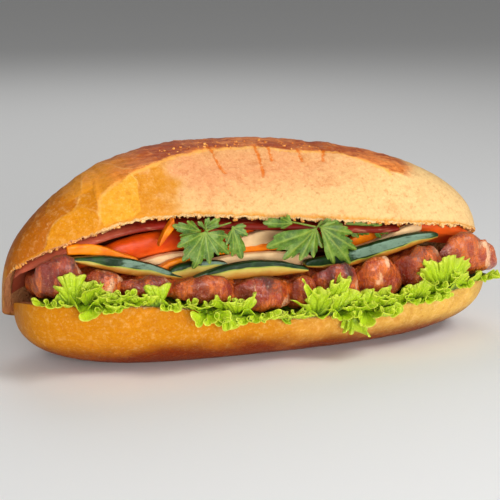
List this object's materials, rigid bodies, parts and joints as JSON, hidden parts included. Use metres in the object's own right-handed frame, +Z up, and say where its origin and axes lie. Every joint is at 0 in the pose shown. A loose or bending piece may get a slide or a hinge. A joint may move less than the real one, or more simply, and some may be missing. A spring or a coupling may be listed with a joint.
{
  "type": "banh mi sandwich",
  "caption": "Banh mi: a crusty split loaf, hinged along its back and filled with grilled pork, ham, lettuce, cucumber, pickled carrot and daikon, tomato and coriander.",
  "frame": {"origin": "on the surface that the sandwich rests on, under the middle of its box", "axes": "+X along the loaf from its left end to its right end as seen from the mouth, -Y out of the mouth, +Z up"},
  "size_m": [0.2164, 0.1084, 0.0873],
  "materials": {
    "crust": "baked bread crust, satin",
    "ham": "cured ham, moist",
    "pork": "grilled glazed pork, glossy",
    "leaf": "lettuce leaf, waxy",
    "cucumber": "cucumber with its skin, moist",
    "carrot": "pickled carrot, moist",
    "daikon": "pickled daikon, moist",
    "tomato": "cut tomato, wet",
    "herb": "coriander leaf, matte"
  },
  "bodies": {
    "root": {"bread_roll": "crust", "ham": "ham", "pork_1": "pork", "pork_2": "pork", "pork_3": "pork", "pork_4": "pork", "pork_5": "pork", "pork_6": "pork", "pork_7": "pork", "pork_8": "pork", "pork_9": "pork", "pork_10": "pork", "cucumber_1": "cucumber", "cucumber_2": "cucumber", "cucumber_3": "cucumber", "cucumber_4": "cucumber", "carrot_1": "carrot", "carrot_2": "carrot", "carrot_3": "carrot", "carrot_4": "carrot", "carrot_5": "carrot", "daikon_1": "daikon", "daikon_2": "daikon", "daikon_3": "daikon", "daikon_4": "daikon", "tomato_1": "tomato", "tomato_2": "tomato", "tomato_3": "tomato", "tomato_4": "tomato", "lettuce_1": "leaf", "lettuce_2": "leaf", "lettuce_3": "leaf", "lettuce_4": "leaf", "coriander_1": "herb", "coriander_2": "herb", "coriander_3": "herb"}
  },
  "joints": []
}
